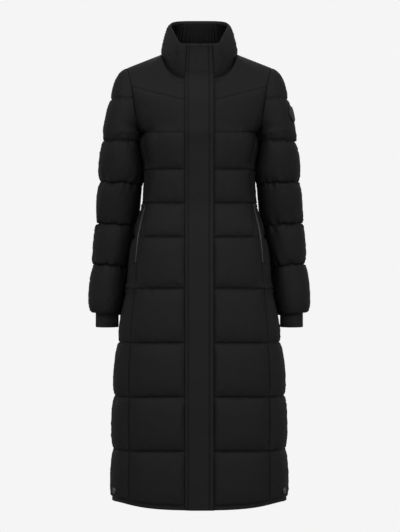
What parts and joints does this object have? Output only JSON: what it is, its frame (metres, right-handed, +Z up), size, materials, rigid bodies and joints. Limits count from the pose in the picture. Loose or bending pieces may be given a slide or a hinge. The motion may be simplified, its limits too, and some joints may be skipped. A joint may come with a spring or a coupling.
{
  "type": "long quilted down coat",
  "caption": "Long black quilted down coat with a tall padded stand collar, storm flap, zipped side pockets and rib-knit cuffs, in its hollow worn shape.",
  "frame": {"origin": "on the neck's axis, level with the wearer's high shoulder points, where the shoulders hold the coat up", "axes": "+Z up towards the collar, -Y towards the coat's front, +X towards the wearer's left"},
  "size_m": [0.5852, 0.3248, 1.2505],
  "materials": {
    "shell": "matte fine twill, quilted over down",
    "collar_lining": "shiny gathered nylon",
    "rib_knit": "matte rib knit",
    "badge": "plain smooth patch",
    "zip_tape": "woven tape with a closed chain",
    "pocket_zip": "satin",
    "zip_slider": "satin",
    "press_stud": "gunmetal"
  },
  "bodies": {
    "root": {"back_panel": "shell", "back_yoke": "shell", "collar": "shell", "collar_lining": "collar_lining", "cuff_left": "rib_knit", "cuff_right": "rib_knit", "front_chest_left": "shell", "front_chest_right": "shell", "front_panel_left": "shell", "front_panel_right": "shell", "front_yoke_left": "shell", "front_yoke_right": "shell", "front_zip": "zip_tape", "hem_stud_left": "press_stud", "hem_stud_right": "press_stud", "pocket_slider_left": "zip_slider", "pocket_slider_right": "zip_slider", "pocket_welt_left": "shell", "pocket_welt_right": "shell", "pocket_zip_left": "pocket_zip", "pocket_zip_right": "pocket_zip", "side_front_left": "shell", "side_front_right": "shell", "sleeve_badge": "badge", "sleeve_left": "shell", "sleeve_right": "shell", "storm_flap": "shell", "vent_underlap_left": "shell", "vent_underlap_right": "shell"}
  },
  "joints": []
}
